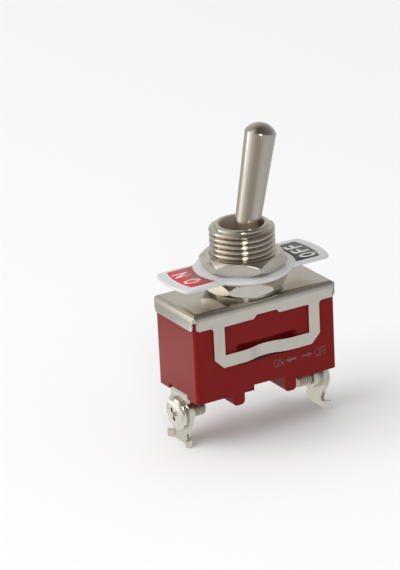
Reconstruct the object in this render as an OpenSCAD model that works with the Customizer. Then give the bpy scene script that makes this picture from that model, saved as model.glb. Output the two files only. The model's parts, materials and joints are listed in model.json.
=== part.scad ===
// Panel toggle switch with a bat lever, two screw terminals and an ON/OFF tag.
// The origin is on the bushing axis, at the top face of the upper nut, where a panel seats.
// +Z runs along the bushing towards the lever and X runs from the ON side to the OFF side.
// Every piece is drawn in the OFF position, with the lever leaning towards +X.

/* [Case] */
// Length of the moulded case along X
case_l = 29.7; // [28.5:0.1:34]
// Width of the moulded case along Y
case_w = 13.9; // [13.5:0.1:17]
// Height of the moulded case from its rim to its underside
case_h = 16.85; // [16:0.05:22]
// Thickness of the long side walls
side_wall = 2.85; // [2:0.05:3.05]
// Thickness of the end walls
end_wall = 2.1; // [1.2:0.05:2.7]
// Thickness of the case floor
floor_t = 2; // [1.7:0.05:3]
// Radius of the upright corners
case_corner_r = 0.8; // [0.4:0.05:1.5]
// Height of the two ribs below the case
rib_h = 2.1; // [1:0.05:3]
// Width of each rib along X
rib_w = 2.45; // [2:0.05:3]
// Radius along the lower edges of the ribs
rib_edge_r = 0.8; // [0.2:0.05:0.95]
// Centre of the left rib
rib_left_x = -6.2; // [-8:0.05:-5]
// Centre of the right rib
rib_right_x = 4.8; // [4.6:0.05:6]
// Left end of the relief in the underside, which runs to the right rib
relief_left_x = -2.9; // [-3.5:0.05:-2]
// Depth of that relief
relief_depth = 1; // [0.7:0.05:1.2]

/* [Cover] */
// Thickness of the pressed cover sheet
cover_t = 0.35; // [0.3:0.01:0.5]
// Fitting gap between the cover's flange and the case
cover_gap = 0.02; // [0.01:0.01:0.1]
// Height of the flange round the cover
flange_h = 3.05; // [2.5:0.05:3.2]
// Outer radius of the bend round the cover's top edge
cover_bend_r = 1.35; // [0.6:0.05:1.5]
// Width of the open slit at each corner of the flange
slit_w = 0.6; // [0.3:0.05:1]
// Radius on the lower corners of each flange
flange_corner_r = 0.7; // [0.3:0.05:1]
// Radius of the fillets where a strap leaves its flange
strap_fillet_r = 0.7; // [0.3:0.05:1]
// Overall width of each holding strap
strap_span = 22.4; // [20:0.1:24]
// Offset of the straps from the bushing axis along X
strap_x = 0.1; // [-0.5:0.05:0.5]
// Width of a strap's two legs
strap_leg_w = 2.3; // [1.8:0.05:3]
// Height of a strap's crossbar
strap_bar_h = 2.4; // [1.8:0.05:3]
// Depth of a strap's lower edge below the cover's top
strap_drop = 11.15; // [10:0.05:13]
// Chamfer on the lower outer corners of a strap
strap_chamfer = 1.85; // [1:0.05:2.2]
// Depth of the strap window's upper edge below the cover's top
window_top = 3.3; // [3.2:0.05:4]
// Height of the raised step in that edge
window_step_h = 0.7; // [0.3:0.05:1]
// Length of the raised step
window_step_l = 5.5; // [4:0.1:8]
// Length of the bow that the crossbar makes into the case
press_l = 11; // [9:0.1:12.5]
// Depth of that bow
press_depth = 0.9; // [0.6:0.05:1]

/* [Bushing and its hardware] */
// Major diameter of the bushing thread
thread_d = 12; // [11.8:0.05:12.2]
// Free thread above the upper nut
free_thread_l = 5.05; // [4:0.05:8]
// Pitch of the thread
thread_pitch = 1; // [0.75:0.25:1.5]
// Radial relief of the bushing stem where the nuts engage it
stem_relief = 0.3; // [0.2:0.05:0.4]
// Height of the collar at the foot of the bushing
collar_h = 0.5; // [0.3:0.05:1]
// Diameter of that collar
collar_d = 12.4; // [12:0.1:14]
// Diameter of the bore that the lever's ball swings in
ball_bore_d = 7.2; // [7:0.05:7.4]
// Diameter of the throat above the ball
throat_d = 6.4; // [6.2:0.05:6.6]
// Diameter of the flared mouth at the top
mouth_d = 8.9; // [8:0.05:9.5]
// Width of the keyway along the bushing
keyway_w = 1.8; // [1.2:0.05:2.2]
// Depth of the keyway below the thread's major diameter
keyway_depth = 0.9; // [0.6:0.05:1.1]
// Size of the nuts across flats
nut_af = 14; // [13.6:0.1:17]
// Thickness of each nut
nut_t = 2.6; // [2:0.05:3]
// Angle of the chamfers on the nuts
nut_chamfer_angle = 40; // [25:1:45]
// Direction of a flat of the upper nut
upper_nut_turn = 52; // [0:1:60]
// Direction of a flat of the lower nut
lower_nut_turn = 9; // [0:1:60]
// Height of the lock washer over its twisted teeth
washer_t = 0.7; // [0.6:0.05:1]
// Outer diameter of the lock washer
washer_d = 16; // [15.4:0.1:17]
// Number of teeth inside the lock washer
washer_teeth = 12; // [8:1:14]
// Thickness of the ON/OFF tag
tag_t = 0.6; // [0.4:0.05:1]
// Overall length of the tag
tag_l = 31.9; // [30:0.1:36]
// Width of the tag's wings
tag_w = 11.1; // [10:0.1:14]
// Diameter of the tag's central disc
tag_disc_d = 18; // [17:0.1:20]
// Radius on the corners of the wings
tag_corner_r = 1.2; // [0.5:0.05:2]

/* [Lever] */
// Lean of the lever to each side of the bushing axis
lever_lean = 12; // [10:0.5:12.5]
// Depth of the pivot below the seat of the panel
pivot_drop = 0.8; // [0.75:0.05:1]
// Length of the lever from its pivot to its tip
lever_l = 24.7; // [20:0.1:30]
// Diameter of the lever at its tip
lever_tip_d = 5.7; // [5:0.05:6]
// Diameter of the lever where it leaves the ball
lever_neck_d = 4.3; // [4:0.05:4.6]
// Height of the dome on the tip
dome_h = 1.75; // [1:0.05:2.5]
// Radius of the edge between the lever's side and the dome
dome_edge_r = 0.35; // [0.1:0.05:0.8]
// Radius of the lever's ball
ball_r = 3.3; // [3.1:0.05:3.4]
// Radius of the pivot pin
pin_r = 0.7; // [0.5:0.05:0.7]
// Length of the lever's tail below the pivot
tail_l = 8; // [7.5:0.1:8.5]
// Diameter of the tail
tail_d = 3.5; // [3.3:0.05:3.6]
// Radius of the plunger
plunger_r = 1.1; // [0.9:0.05:1.15]
// Distance from the pivot to the plunger's tip
plunger_reach = 11; // [10.5:0.1:11.5]
// Length of plunger held inside the tail
plunger_hold = 2.8; // [2.4:0.1:3]
// Diameter of the spring wire
spring_wire_d = 0.32; // [0.25:0.01:0.4]
// Number of turns in the plunger spring
spring_turns = 5; // [4:1:6]

/* [Contacts and terminals] */
// Tilt of the rocker to each side of level
rocker_tilt = 6; // [5:0.5:7]
// Thickness of the rocker's web
rocker_t = 0.9; // [0.7:0.05:1]
// Height of the rocker's top face above its axle
rocker_rise = 2.15; // [2:0.05:2.4]
// Radius of the rocker's axle
axle_r = 0.8; // [0.6:0.05:0.9]
// Distance of the contacts from the rocker's axle
contact_x = 7.4; // [7:0.1:7.8]
// Radius of the contact buttons
contact_r = 1.5; // [1.2:0.05:1.6]
// Thickness of the moving contact button
moving_button_t = 0.7; // [0.5:0.05:0.8]
// Thickness of the fixed contact button
fixed_button_t = 0.8; // [0.5:0.05:1]
// Thickness of the terminal sheet
sheet_t = 0.8; // [0.7:0.05:0.9]
// Thickness of the cradle sheet
cradle_t = 0.7; // [0.5:0.05:0.8]
// Width of the terminal strips inside the case
strip_w = 5.6; // [5:0.1:6]
// Width of a terminal plate
plate_w = 7.5; // [7:0.1:9]
// Depth of a plate's lower shoulder below the case
plate_drop = 6.1; // [5.3:0.05:6.5]
// Width of the foot below the shoulder
waist_w = 4.7; // [4:0.1:6]
// Depth below the case at which the foot has its full waist
waist_drop = 7.45; // [6.8:0.05:8]
// Depth of the foot's lower end below the case
plate_end_drop = 9.35; // [9:0.05:10]
// Height of the wire lugs on both sides of the foot
lug_h = 1.3; // [0.8:0.05:1.5]
// Length of the lugs beyond their bend
lug_l = 1; // [0.8:0.05:2]
// Outward bend of the lugs
lug_bend = 50; // [30:1:70]
// Diameter of the terminal screws
screw_d = 3; // [2.5:0.1:3]
// Length of the terminal screws below the head
screw_l = 5; // [4:0.1:6]
// Diameter of the screw heads
screw_head_d = 6.3; // [5.5:0.1:6.6]
// Height of the screw heads
screw_head_h = 1.4; // [1.1:0.05:1.8]
// Depth of the screws' axis below the case
screw_drop = 3.75; // [3.5:0.05:4]
// Radius of the rivet shanks
rivet_r = 0.9; // [0.7:0.05:1]
// Radius of the rivet heads
rivet_head_r = 1.6; // [1.3:0.05:1.7]
// Height of the rivet heads
rivet_head_h = 0.55; // [0.4:0.05:0.6]

/* [Hidden] */
$fn = 64;

// Overshoot of cutting shapes
eps = 0.1;
// Radial clearance of pieces that are pushed or staked together
snug = 0.01;
// Radial clearance of pieces that turn or slide on each other
running = 0.05;
// Clearance between neighbours that never touch
free_gap = 0.4;
// Clearance between stops and what comes to rest on them
stop_gap = 0.1;

// Levels of the stack between the cover and the panel seat, which is at zero
stack_h = collar_h + nut_t + washer_t + tag_t + nut_t;
cover_top_z = -stack_h;
cover_under_z = cover_top_z - cover_t;
lower_nut_z = cover_top_z + collar_h;
washer_z = lower_nut_z + nut_t;
tag_z = washer_z + washer_t;
upper_nut_z = tag_z + tag_t;

// Case cavity
case_bottom_z = cover_under_z - case_h;
cav_l = case_l - 2 * end_wall;
cav_w = case_w - 2 * side_wall;
cav_floor_z = case_bottom_z + floor_t;
rib_right_side = rib_right_x - rib_w / 2;
relief_mid_x = (relief_left_x + rib_right_side) / 2;

// Cover
cover_l = case_l + 2 * (cover_gap + cover_t);
cover_w = case_w + 2 * (cover_gap + cover_t);
cover_corner_r = case_corner_r + cover_gap + cover_t;
case_top_r = cover_bend_r - cover_t;
pocket_depth = press_depth + free_gap;
pocket_l = press_l + free_gap;
pocket_above = 1.2;

// Bushing
thread_r = thread_d / 2;
stem_r = thread_r - stem_relief;
nut_bore_r = stem_r + running;
tag_bore_r = thread_r + stop_gap;
rim_chamfer = 0.3;
thread_depth = 0.4;
spigot_wall = 1.4;
spigot_r = ball_bore_d / 2 + spigot_wall;
lip_w = 0.6;
lip_r = spigot_r + lip_w;
lip_h = 0.6;
throat_l = 0.6;

// Nuts and lock washer
nut_face_step = 0.07;
nut_mouth = 0.4;
washer_tooth_l = 0.8;

// Lever
pivot_z = -pivot_drop;
tail_bore_r = plunger_r + running;
pin_cover = 1;
tail_bore_top = pin_r + pin_cover;
plunger_top = tail_l - plunger_hold;
throat_z = pivot_z + sqrt(pow(ball_r, 2) - pow(throat_d / 2 - free_gap, 2));

// Rocker, which clears the plunger's tip by a hair at mid throw
mid_gap = 0.05;
axle_z = pivot_z - plunger_reach - mid_gap - rocker_rise;
ear_out = cav_w / 2 - free_gap;
ear_in = ear_out - cradle_t;
rocker_half_w = ear_in - free_gap;
axle_wall = 1;
rocker_flange_t = 0.7;
rocker_flange_half_l = axle_r + axle_wall;
rocker_flange_foot = 0.5;
rocker_end = contact_x + contact_r;
rest_half_l = 0.9;
rest_x = -(rocker_end - rest_half_l);
web_under = rocker_rise - rocker_t;
button_under = web_under - moving_button_t;
rest_z = axle_z - rocker_end * sin(rocker_tilt) + web_under * cos(rocker_tilt) - stop_gap;
fixed_top_z = axle_z - rocker_end * sin(rocker_tilt) + button_under * cos(rocker_tilt) - stop_gap;

// Terminals
plate_out = case_l / 2;
plate_in = plate_out - sheet_t;
bend_r = 0.3;
plate_neck = 1;
plate_corner_r = 1.6;
joggle_gap = 0.2;
joggle_out = cav_l / 2 - joggle_gap;
joggle_in = joggle_out - sheet_t;
strip_top_z = cav_floor_z + sheet_t;
shelf_z = fixed_top_z - fixed_button_t - sheet_t;
riser_set = 1;
riser_x = contact_x - contact_r - riser_set;
screw_z = case_bottom_z - screw_drop;
screw_collar_l = 1.2;
base_top_z = strip_top_z + cradle_t;
cradle_half_l = 2.2;
terminal_rivet_x = (riser_x + sheet_t + joggle_in) / 2;

module rounded_rect(l, w, r) {
  square([l - 2 * r, w], center = true);
  square([l, w - 2 * r], center = true);
  for (x = [-1, 1], y = [-1, 1])
    translate([x * (l / 2 - r), y * (w / 2 - r)]) circle(r);
}

// Upright section with rounded upper corners, its top edge at zero height
module arch(w, h, r) {
  translate([-w / 2, -h]) square([w, h - r]);
  translate([-w / 2 + r, -h]) square([w - 2 * r, h]);
  for (s = [-1, 1]) translate([s * (w / 2 - r), -r]) circle(r);
}

// Stands a shape drawn in X and height up, with its thickness centred on Y
module upright(w) {
  rotate([90, 0, 0]) linear_extrude(w, center = true) children();
}

// Block with rounded upright corners and a rounded top edge, its top at zero
module rounded_block(l, w, h, corner_r, top_r) {
  intersection() {
    upright(w) arch(l, h, top_r);
    rotate([0, 0, 90]) upright(l) arch(w, h, top_r);
    translate([0, 0, -h]) linear_extrude(h) rounded_rect(l, w, corner_r);
  }
}

// Section of sheet bent round the origin between two directions, with its inner radius given
module bent_sheet(r, t, from, to) {
  reach = 2 * (r + t);
  intersection() {
    difference() {
      circle(r + t);
      circle(r);
    }
    polygon([[0, 0], reach * [cos(from), sin(from)], reach * [cos(to), sin(to)]]);
  }
}

// Cylinder along X, from x to x + l
module along_x(x, l, r) {
  translate([x, 0, 0]) rotate([0, 90, 0]) cylinder(h = l, r = r);
}

// Cylinder along Y, centred
module along_y(l, r) {
  rotate([90, 0, 0]) cylinder(h = l, r = r, center = true);
}

// Frame of the lever, its Z axis along the lever and its origin on the pivot
module on_lever() {
  translate([0, 0, pivot_z]) rotate([0, lever_lean, 0]) children();
}

// Frame of the rocker, its origin on the axle
module on_rocker() {
  translate([0, 0, axle_z]) rotate([0, -rocker_tilt, 0]) children();
}

module rib(x) {
  translate([x, 0, case_bottom_z])
    rotate([180, 0, 0]) upright(case_w) {
      translate([-rib_w / 2, -eps]) square([rib_w, rib_h - rib_edge_r + eps]);
      translate([-rib_w / 2 + rib_edge_r, -eps]) square([rib_w - 2 * rib_edge_r, rib_h + eps]);
      for (s = [-1, 1]) translate([s * (rib_w / 2 - rib_edge_r), rib_h - rib_edge_r]) circle(rib_edge_r);
    }
}

// Recess in a long face that takes the bow of a strap's crossbar
module strap_pocket() {
  top = cover_top_z - strap_drop + strap_bar_h + pocket_above;
  bottom = cover_top_z - strap_drop - free_gap;
  mouth = pocket_l / 2 + pocket_depth / 2;
  translate([strap_x, -case_w / 2, bottom])
    linear_extrude(top - bottom)
      polygon([[-mouth, -eps], [mouth, -eps], [mouth, 0], [pocket_l / 2, pocket_depth],
               [-pocket_l / 2, pocket_depth], [-mouth, 0]]);
}

// Way out for a terminal strip through the floor and under the end wall
module strip_way() {
  way_w = strip_w + 2 * free_gap;
  translate([joggle_in - stop_gap, -way_w / 2, case_bottom_z - eps])
    cube([cav_l / 2 - joggle_in + stop_gap, way_w, floor_t + 2 * eps]);
  translate([joggle_in, -way_w / 2, case_bottom_z - eps])
    cube([case_l / 2 - joggle_in + eps, way_w, sheet_t + stop_gap + eps]);
}

// Moulded rests that stop the open end of the rocker
module rests() {
  for (s = [-1, 1]) {
    inner = strip_w / 2 + stop_gap;
    translate([rest_x - rest_half_l, s > 0 ? inner : -cav_w / 2 - eps, cav_floor_z - eps])
      cube([2 * rest_half_l, cav_w / 2 + eps - inner, rest_z - cav_floor_z + eps]);
  }
}

module case() {
  color([0.52, 0.11, 0.11]) {
    difference() {
      union() {
        translate([0, 0, cover_under_z]) rounded_block(case_l, case_w, case_h, case_corner_r, case_top_r);
        rib(rib_left_x);
        rib(rib_right_x);
      }
      translate([-cav_l / 2, -cav_w / 2, cav_floor_z]) cube([cav_l, cav_w, case_h]);
      translate([0, 0, cover_under_z - lip_h - free_gap]) cylinder(h = case_h, r = lip_r + stop_gap);
      for (m = [0, 1]) mirror([0, m, 0]) strap_pocket();
      for (m = [0, 1]) mirror([m, 0, 0]) strip_way();
      translate([relief_left_x, -case_w / 2 - eps, case_bottom_z - eps])
        cube([rib_right_side - relief_left_x, case_w + 2 * eps, relief_depth + eps]);
      for (x = [relief_mid_x, terminal_rivet_x])
        translate([x, 0, case_bottom_z - eps]) cylinder(h = floor_t + 2 * eps, r = rivet_r + snug);
      translate([terminal_rivet_x, 0, case_bottom_z - eps])
        cylinder(h = rivet_head_h + stop_gap + eps, r = rivet_head_r + stop_gap);
    }
    rests();
  }
}

// Slit at a corner of the flange, seen along the diagonal, with rounded flange ends
module corner_slit() {
  end = slit_w / 2 + flange_corner_r;
  rotate([90, 0, 0]) linear_extrude(4 * cover_corner_r, center = true) {
    translate([-slit_w / 2, -eps]) square([slit_w, flange_h - cover_bend_r + eps]);
    difference() {
      translate([-end, -eps]) square([2 * end, flange_corner_r + eps]);
      for (s = [-1, 1]) translate([s * end, flange_corner_r]) circle(flange_corner_r);
    }
  }
}

// Raised step in the upper edge of a strap's window
module window_step() {
  low = window_step_l / 2;
  high = low - window_step_h;
  step_top = -window_top + window_step_h;
  polygon([[-low, -window_top], [low, -window_top], [high, step_top], [-high, step_top]]);
}

// Outline of a strap, with x from its middle and heights from the cover's top
module strap_outline() {
  side = strap_span / 2;
  inner = side - strap_leg_w;
  bar_top = -strap_drop + strap_bar_h;
  low = -strap_drop;
  cut = strap_chamfer;
  difference() {
    polygon([[-side, -flange_h / 2], [-side, low + cut], [-side + cut, low],
             [side - cut, low], [side, low + cut], [side, -flange_h / 2]]);
    polygon([[-inner, bar_top], [inner, bar_top], [inner, -window_top], [-inner, -window_top]]);
    window_step();
    translate([-press_l / 2, -strap_drop - eps]) square([press_l, strap_bar_h + 2 * eps]);
  }
  for (s = [-1, 1])
    translate([s * side, -flange_h]) mirror([s > 0 ? 0 : 1, 0]) difference() {
      square([2 * strap_fillet_r, 2 * strap_fillet_r], center = true);
      translate([strap_fillet_r, -strap_fillet_r]) circle(strap_fillet_r);
    }
}

// Bow of the crossbar into the case, seen from above: three arcs that run smoothly into each other
module bowed_bar() {
  turn = 2 * atan(2 * press_depth / press_l);
  bow_r = press_l / (4 * sin(turn));
  translate([0, cover_t / 2, -strap_drop])
    linear_extrude(strap_bar_h) {
      for (s = [-1, 1])
        translate([s * press_l / 2, bow_r]) bent_sheet(bow_r - cover_t / 2, cover_t, -90, -90 - s * turn);
      translate([0, press_depth - bow_r]) bent_sheet(bow_r - cover_t / 2, cover_t, 90 - turn, 90 + turn);
    }
}

module strap() {
  translate([strap_x, -cover_w / 2, 0]) {
    translate([0, cover_t / 2, 0]) upright(cover_t) strap_outline();
    bowed_bar();
  }
}

module window_step_cut() {
  translate([strap_x, -cover_w / 2, 0]) upright(3 * cover_t) window_step();
}

module cover() {
  color([0.74, 0.72, 0.67])
    translate([0, 0, cover_top_z]) {
      difference() {
        rounded_block(cover_l, cover_w, flange_h, cover_corner_r, cover_bend_r);
        translate([0, 0, -cover_t])
          rounded_block(cover_l - 2 * cover_t, cover_w - 2 * cover_t, flange_h,
                        cover_corner_r - cover_t, case_top_r);
        translate([0, 0, -flange_h]) cylinder(h = 2 * flange_h, r = spigot_r + snug);
        for (x = [-1, 1], y = [-1, 1])
          translate([x * (cover_l - cover_corner_r) / 2, y * (cover_w - cover_corner_r) / 2, -flange_h])
            rotate([0, 0, x * y * 45 + 90]) corner_slit();
        for (m = [0, 1]) mirror([0, m, 0]) window_step_cut();
      }
      for (m = [0, 1]) mirror([0, m, 0]) strap();
    }
}

// Thread on the free end, drawn as closed grooves one pitch apart
module thread_grooves() {
  half_w = thread_depth * tan(30);
  for (z = [thread_pitch / 2 : thread_pitch : free_thread_l - rim_chamfer - half_w])
    translate([0, 0, z])
      rotate_extrude()
        polygon([[thread_r - thread_depth, 0], [thread_r + thread_depth, 2 * half_w],
                 [thread_r + thread_depth, -2 * half_w]]);
}

module bushing() {
  top = free_thread_l;
  color([0.74, 0.72, 0.67])
    difference() {
      union() {
        cylinder(h = top - rim_chamfer, r = thread_r);
        translate([0, 0, top - rim_chamfer])
          cylinder(h = rim_chamfer, r1 = thread_r, r2 = thread_r - rim_chamfer);
        translate([0, 0, cover_top_z]) cylinder(h = stack_h, r = stem_r);
        translate([0, 0, cover_top_z]) cylinder(h = collar_h, d = collar_d);
        translate([0, 0, cover_under_z - lip_h]) cylinder(h = cover_t + lip_h, r = spigot_r);
        translate([0, 0, cover_under_z - lip_h]) cylinder(h = lip_h, r = lip_r);
      }
      translate([0, 0, cover_under_z - lip_h - eps])
        cylinder(h = throat_z - cover_under_z + lip_h + eps, d = ball_bore_d);
      cylinder(h = top, d = throat_d);
      translate([0, 0, throat_z + throat_l])
        cylinder(h = top - throat_z - throat_l, d1 = throat_d, d2 = mouth_d);
      translate([thread_r - keyway_depth, -keyway_w / 2, lower_nut_z])
        cube([thread_r, keyway_w, stack_h + top]);
      translate([0, 0, pivot_z]) along_y(2 * thread_r, pin_r + snug);
      thread_grooves();
    }
}

// Hexagon nut with both faces chamfered, a flat at the given direction
module hex_nut(turn) {
  face_r = nut_af / 2 - nut_face_step;
  spread = nut_t / tan(nut_chamfer_angle);
  mouth_r = nut_bore_r + nut_mouth;
  difference() {
    intersection() {
      rotate([0, 0, turn - 30]) cylinder(h = nut_t, r = nut_af / sqrt(3), $fn = 6);
      cylinder(h = nut_t, r1 = face_r, r2 = face_r + spread);
      cylinder(h = nut_t, r1 = face_r + spread, r2 = face_r);
    }
    translate([0, 0, -eps]) cylinder(h = nut_t + 2 * eps, r = nut_bore_r);
    translate([0, 0, -eps]) cylinder(h = mouth_r - nut_bore_r + eps, r1 = mouth_r + eps, r2 = nut_bore_r);
    translate([0, 0, nut_t - mouth_r + nut_bore_r])
      cylinder(h = mouth_r - nut_bore_r + eps, r1 = nut_bore_r, r2 = mouth_r + eps);
  }
}

module lower_nut() {
  color([0.78, 0.76, 0.7]) translate([0, 0, lower_nut_z]) hex_nut(lower_nut_turn);
}

module upper_nut() {
  color([0.78, 0.76, 0.7]) translate([0, 0, upper_nut_z]) hex_nut(upper_nut_turn);
}

// Internal tooth washer: a flat ring whose teeth are twisted up to the full height
module lock_washer() {
  ring_t = 0.6 * washer_t;
  ring_in = tag_bore_r + washer_tooth_l;
  tooth_w = 0.6 * 2 * PI * tag_bore_r / washer_teeth;
  tooth_t = 0.55 * washer_t;
  twist = asin((washer_t - tooth_t) / tooth_w);
  color([0.7, 0.7, 0.68])
    translate([0, 0, washer_z + washer_t / 2]) {
      difference() {
        cylinder(h = ring_t, d = washer_d, center = true);
        cylinder(h = washer_t, r = ring_in, center = true);
      }
      for (i = [0:washer_teeth - 1])
        rotate([0, 0, (i + 0.5) * 360 / washer_teeth])
          translate([tag_bore_r, 0, 0])
            rotate([twist, 0, 0])
              translate([0, -tooth_w / 2, -tooth_t / 2])
                cube([ring_in - tag_bore_r + eps, tooth_w, tooth_t]);
    }
}

// One wing of the tag, its end an arc round the bushing axis with rounded corners
module tag_wing() {
  end_r = tag_l / 2;
  half = tag_w / 2;
  cy = half - tag_corner_r;
  cx = sqrt(pow(end_r - tag_corner_r, 2) - pow(cy, 2));
  reach = 2 * end_r / cx;
  translate([0, -half]) square([cx, tag_w]);
  for (s = [-1, 1]) translate([cx, s * cy]) circle(tag_corner_r);
  intersection() {
    circle(end_r);
    polygon([[0, 0], [reach * cx, reach * cy], [reach * cx, -reach * cy]]);
  }
}

module onoff_tag() {
  tongue_w = keyway_w - 2 * stop_gap;
  color([0.8, 0.8, 0.79])
    translate([0, 0, tag_z]) linear_extrude(tag_t) {
      difference() {
        union() {
          circle(d = tag_disc_d);
          for (m = [0, 1]) mirror([m, 0]) tag_wing();
        }
        circle(tag_bore_r);
      }
      translate([thread_r - keyway_depth + stop_gap, -tongue_w / 2])
        square([keyway_depth + stop_gap, tongue_w]);
    }
}

// Half section of the lever's stem: a cone, a rounded edge and a dome that meets it smoothly
module stem_section() {
  tip_r = lever_tip_d / 2;
  shoulder = lever_l - dome_h;
  edge_x = tip_r - dome_edge_r;
  dome_r = (pow(edge_x, 2) + pow(dome_h, 2) - pow(dome_edge_r, 2)) / (2 * (dome_h - dome_edge_r));
  dome_z = lever_l - dome_r;
  polygon([[0, 0], [lever_neck_d / 2, 0], [tip_r, shoulder], [0, shoulder]]);
  translate([edge_x, shoulder]) intersection() {
    circle(dome_edge_r);
    square(dome_edge_r);
  }
  translate([0, dome_z]) intersection() {
    circle(dome_r);
    polygon([[0, 0], [2 * edge_x, 2 * (shoulder - dome_z)], [0, 2 * dome_r]]);
  }
}

module lever() {
  color([0.74, 0.72, 0.67])
    on_lever()
      difference() {
        union() {
          rotate_extrude() stem_section();
          sphere(ball_r);
          translate([0, 0, -tail_l]) cylinder(h = tail_l, d = tail_d);
        }
        along_y(3 * ball_r, pin_r + running);
        translate([0, 0, -tail_l - eps]) cylinder(h = tail_l - tail_bore_top + eps, r = tail_bore_r);
      }
}

module pivot_pin() {
  color([0.6, 0.6, 0.6]) translate([0, 0, pivot_z]) along_y(2 * (stem_r - stem_relief), pin_r);
}

module plunger() {
  color([0.92, 0.9, 0.84])
    on_lever() {
      translate([0, 0, -plunger_reach + plunger_r])
        cylinder(h = plunger_reach - plunger_r - plunger_top, r = plunger_r);
      translate([0, 0, -plunger_reach + plunger_r]) sphere(plunger_r);
    }
}

// Points of one ring of the spring wire, at a turn angle of the helix
function spring_ring(angle, rise, coil_r, sides) =
  [for (i = [0:sides - 1])
    let(b = 360 * i / sides, r = coil_r + spring_wire_d / 2 * cos(b))
      [r * cos(angle), r * sin(angle), rise * angle / 360 + spring_wire_d / 2 * sin(b)]];

module plunger_spring() {
  sides = 8;
  steps = 18 * spring_turns;
  coil_r = tail_bore_r - spring_wire_d / 2 - stop_gap;
  space = plunger_top - tail_bore_top - spring_wire_d - 2 * snug;
  rise = space / spring_turns;
  points = [for (k = [0:steps]) each spring_ring(360 * spring_turns * k / steps, rise, coil_r, sides)];
  walls = [for (k = [0:steps - 1], i = [0:sides - 1])
    let(a = k * sides + i, b = k * sides + (i + 1) % sides) [a, a + sides, b + sides, b]];
  first_cap = [for (i = [0:sides - 1]) i];
  last_cap = [for (i = [sides - 1:-1:0]) steps * sides + i];
  color([0.6, 0.6, 0.62])
    on_lever()
      translate([0, 0, -plunger_top + spring_wire_d / 2 + snug])
        polyhedron(points, concat(walls, [first_cap, last_cap]));
}

module rocker() {
  hang = rocker_rise + axle_r + rocker_flange_foot;
  cross_half_w = cav_w / 2 - free_gap;
  color([0.8, 0.62, 0.35])
    on_rocker()
      difference() {
        union() {
          translate([-rocker_end, -rocker_half_w, web_under])
            cube([2 * rocker_end, 2 * rocker_half_w, rocker_t]);
          translate([-rocker_end, -cross_half_w, web_under])
            cube([2 * rest_half_l, 2 * cross_half_w, rocker_t]);
          for (s = [-1, 1])
            translate([-rocker_flange_half_l, s > 0 ? rocker_half_w - rocker_flange_t : -rocker_half_w,
                       rocker_rise - hang])
              cube([2 * rocker_flange_half_l, rocker_flange_t, hang]);
        }
        along_y(4 * rocker_half_w, axle_r + running);
        translate([contact_x, 0, 0]) cylinder(h = 2 * rocker_rise, r = contact_r / 2 + snug);
      }
}

module moving_contact() {
  color([0.86, 0.86, 0.85])
    on_rocker()
      translate([contact_x, 0, 0]) {
        translate([0, 0, button_under]) cylinder(h = moving_button_t, r = contact_r);
        translate([0, 0, button_under]) cylinder(h = moving_button_t + rocker_t, r = contact_r / 2);
      }
}

module rocker_axle() {
  color([0.6, 0.6, 0.6]) translate([0, 0, axle_z]) along_y(2 * ear_out, axle_r);
}

module cradle() {
  ear_half_l = axle_r + axle_wall;
  color([0.8, 0.62, 0.35])
    difference() {
      union() {
        translate([-cradle_half_l, -ear_out, strip_top_z]) cube([2 * cradle_half_l, 2 * ear_out, cradle_t]);
        for (s = [-1, 1])
          translate([0, s * (ear_out + ear_in) / 2, 0]) upright(cradle_t) {
            translate([-ear_half_l, strip_top_z]) square([2 * ear_half_l, axle_z - strip_top_z]);
            translate([0, axle_z]) circle(ear_half_l);
          }
      }
      translate([0, 0, axle_z]) along_y(4 * ear_out, axle_r + snug);
      translate([relief_mid_x, 0, strip_top_z - eps]) cylinder(h = cradle_t + 2 * eps, r = rivet_r + snug);
    }
}

// Outline of a terminal plate below the case, in Y and height
module plate_outline() {
  r = plate_corner_r;
  wide_top = case_bottom_z - plate_neck;
  shoulder = case_bottom_z - plate_drop;
  waist = case_bottom_z - waist_drop;
  translate([-strip_w / 2, wide_top - 2 * r]) square([strip_w, plate_neck - bend_r + 2 * r]);
  translate([0, (wide_top + shoulder) / 2]) rounded_rect(plate_w, wide_top - shoulder, r);
  polygon([[-plate_w / 2 + r / 3, shoulder + r / 3], [plate_w / 2 - r / 3, shoulder + r / 3],
           [waist_w / 2, waist], [-waist_w / 2, waist]]);
  translate([-waist_w / 2, case_bottom_z - plate_end_drop])
    square([waist_w, plate_end_drop - waist_drop + eps]);
}

// Two wire lugs at the foot, each bent outwards about an upright line
module lugs() {
  translate([0, 0, case_bottom_z - plate_end_drop])
    linear_extrude(lug_h)
      for (m = [0, 1]) mirror([0, m])
        translate([plate_out + bend_r, waist_w / 2]) {
          bent_sheet(bend_r, sheet_t, 180 - lug_bend, 180);
          rotate(-lug_bend) translate([-bend_r - sheet_t, 0]) square([sheet_t, lug_l]);
        }
}

// Sheet metal terminal on the +X side: floor strip, joggle under the end wall and screw plate
module terminal(strip_from) {
  difference() {
    union() {
      upright(strip_w) {
        translate([strip_from, cav_floor_z]) square([joggle_out - strip_from, sheet_t]);
        translate([joggle_in, case_bottom_z]) square([sheet_t, floor_t + sheet_t]);
        translate([joggle_in, case_bottom_z]) square([plate_in - bend_r - joggle_in, sheet_t]);
        translate([plate_in - bend_r, case_bottom_z - bend_r]) bent_sheet(bend_r, sheet_t, 0, 90);
      }
      translate([plate_in, 0, 0]) rotate([90, 0, 90]) linear_extrude(sheet_t) plate_outline();
      lugs();
      translate([0, 0, screw_z]) along_x(plate_in - screw_collar_l, screw_collar_l, screw_d / 2 + sheet_t);
    }
    translate([0, 0, screw_z])
      along_x(plate_in - 2 * screw_collar_l, 4 * screw_collar_l, screw_d / 2 + snug);
  }
}

module common_terminal() {
  color([0.76, 0.74, 0.7])
    difference() {
      mirror([1, 0, 0]) terminal(-cradle_half_l);
      translate([relief_mid_x, 0, cav_floor_z - eps]) cylinder(h = sheet_t + 2 * eps, r = rivet_r + snug);
    }
}

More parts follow.
